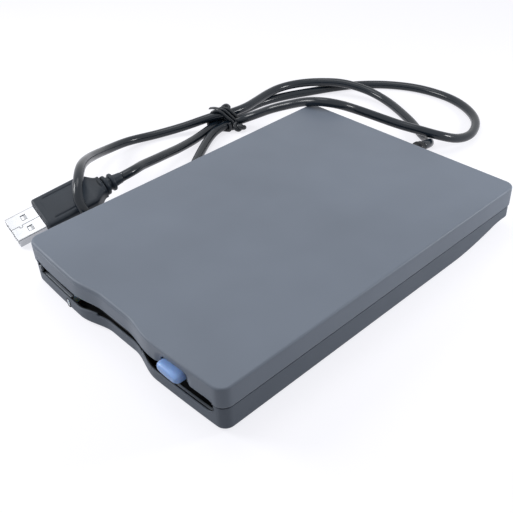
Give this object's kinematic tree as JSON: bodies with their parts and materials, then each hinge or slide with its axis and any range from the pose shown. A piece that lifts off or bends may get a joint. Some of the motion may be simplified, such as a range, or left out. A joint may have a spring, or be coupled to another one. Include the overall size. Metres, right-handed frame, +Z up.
{
  "type": "external floppy disk drive",
  "caption": "Slim desktop disk drive with front slot, eject button, inner disk lift, spindle and head carriage, and a bundled USB lead.",
  "frame": {"origin": "on the floor under the middle of the case", "axes": "+Z up, -Y towards the disk slot, +X to the right as the slot is faced from above"},
  "size_m": [0.161, 0.2215, 0.0229],
  "materials": {
    "slate_upper": "fine matt moulded plastic, blue-grey",
    "slate_lower": "fine matt moulded plastic, darker grey",
    "button_blue": "satin light blue plastic",
    "black_plastic": "satin black plastic",
    "foot_rubber": "matt grey-black rubber",
    "cord_jacket": "satin dark grey jacket",
    "pale_plastic": "natural nylon",
    "lens_clear": "milky clear light guide",
    "sheet_steel": "zinc-plated sheet",
    "turned_steel": "bright turned steel",
    "bronze": "sintered bronze",
    "copper_coil": "enamelled copper winding",
    "magnet_grey": "plastic-bonded magnet",
    "board_green": "green solder mask",
    "chip_black": "matt epoxy",
    "flat_cable": "white film cable",
    "plug_steel": "nickel-plated sheet",
    "gold": "gold-plated",
    "ceramic": "ceramic head slider"
  },
  "bodies": {
    "case": {"top_cover": "slate_upper", "bottom_cover": "slate_lower", "rubber_feet": "foot_rubber", "case_screws": "turned_steel", "lamp_lens": "lens_clear", "indicator_led": "lens_clear", "flap_spring": "turned_steel", "eject_springs": "turned_steel", "chassis": "sheet_steel", "shield_plate": "sheet_steel", "chassis_screws": "turned_steel", "motor_board": "board_green", "spindle_bearing": "bronze", "stator_core": "copper_coil", "guide_rods": "turned_steel", "stepper_motor": "turned_steel", "trigger_spring": "turned_steel", "sensor_boards": "board_green", "sensor_blocks": "pale_plastic", "main_board": "board_green", "board_chips": "chip_black", "track_sensor": "black_plastic", "usb_board": "board_green", "usb_chips": "chip_black", "flat_cable": "flat_cable", "cable_relief": "black_plastic", "usb_cord": "cord_jacket", "cord_tie": "cord_jacket", "plug_overmould": "cord_jacket", "plug_shell": "plug_steel", "plug_tongue": "pale_plastic", "plug_contacts": "gold"},
    "eject_slide": {"eject_button": "button_blue", "slide_plate": "sheet_steel"},
    "holder": {"disk_holder": "sheet_steel"},
    "flap": {"dust_flap": "black_plastic"},
    "spindle": {"spindle_rotor": "sheet_steel", "rotor_magnet": "magnet_grey", "spindle_hub": "turned_steel", "drive_pin": "turned_steel"},
    "carriage": {"head_carriage": "black_plastic", "lower_head": "ceramic", "screw_follower": "pale_plastic"},
    "arm": {"head_arm": "sheet_steel", "upper_head": "ceramic", "arm_spring": "sheet_steel"},
    "screw": {"lead_screw": "turned_steel"},
    "lever": {"trigger_lever": "sheet_steel"},
    "write_protect": {"write_protect_plunger": "pale_plastic"},
    "disk_in": {"disk_in_plunger": "pale_plastic"},
    "density": {"density_plunger": "pale_plastic"}
  },
  "joints": [
    {"name": "eject_slide", "type": "slide", "parent": "case", "child": "eject_slide", "axis": [0, -1, 0], "range_m": [0, 0.0045]},
    {"name": "holder_drop", "type": "slide", "parent": "case", "child": "holder", "axis": [0, 0, -1], "range_m": [0, 0.0015]},
    {"name": "flap_hinge", "type": "hinge", "parent": "case", "child": "flap", "pos_m": [0, -0.0668, 0.0126], "axis": [1, 0, 0], "range_deg": [0, 80], "stiffness_Nm_per_rad": 0.0006, "springref_deg": -28.65},
    {"name": "spindle_spin", "type": "hinge", "parent": "case", "child": "spindle", "pos_m": [0, -0.023, 0.003], "axis": [0, 0, 1], "continuous": true},
    {"name": "head_travel", "type": "slide", "parent": "case", "child": "carriage", "axis": [0, -1, 0], "range_m": [0, 0.0148]},
    {"name": "head_lift", "type": "hinge", "parent": "carriage", "child": "arm", "pos_m": [0, 0.0455, 0.01135], "axis": [1, 0, 0], "range_deg": [0, 7.5]},
    {"name": "screw_spin", "type": "hinge", "parent": "case", "child": "screw", "pos_m": [0.017, 0.03, 0.0069], "axis": [0, 1, 0], "range_deg": [0, 1421.8]},
    {"name": "shutter_lever", "type": "hinge", "parent": "case", "child": "lever", "pos_m": [-0.038, 0.037, 0.0123], "axis": [0, 0, 1], "range_deg": [0, 42], "stiffness_Nm_per_rad": 0.004, "springref_deg": -17.19},
    {"name": "write_protect_press", "type": "slide", "parent": "case", "child": "write_protect", "axis": [0, 0, -1], "range_m": [0, 0.001], "stiffness_N_per_m": 60, "springref_m": -0.0006},
    {"name": "disk_in_press", "type": "slide", "parent": "case", "child": "disk_in", "axis": [0, 0, -1], "range_m": [0, 0.001], "stiffness_N_per_m": 60, "springref_m": -0.0006},
    {"name": "density_press", "type": "slide", "parent": "case", "child": "density", "axis": [0, 0, -1], "range_m": [0, 0.001], "stiffness_N_per_m": 60, "springref_m": -0.0006}
  ],
  "couplings": [
    {"joint": "holder_drop", "follows": "eject_slide", "ratio": 0.3333},
    {"joint": "head_lift", "follows": "eject_slide", "rad_per_m": 29.08},
    {"joint": "screw_spin", "follows": "head_travel", "rad_per_m": 1675.5}
  ]
}
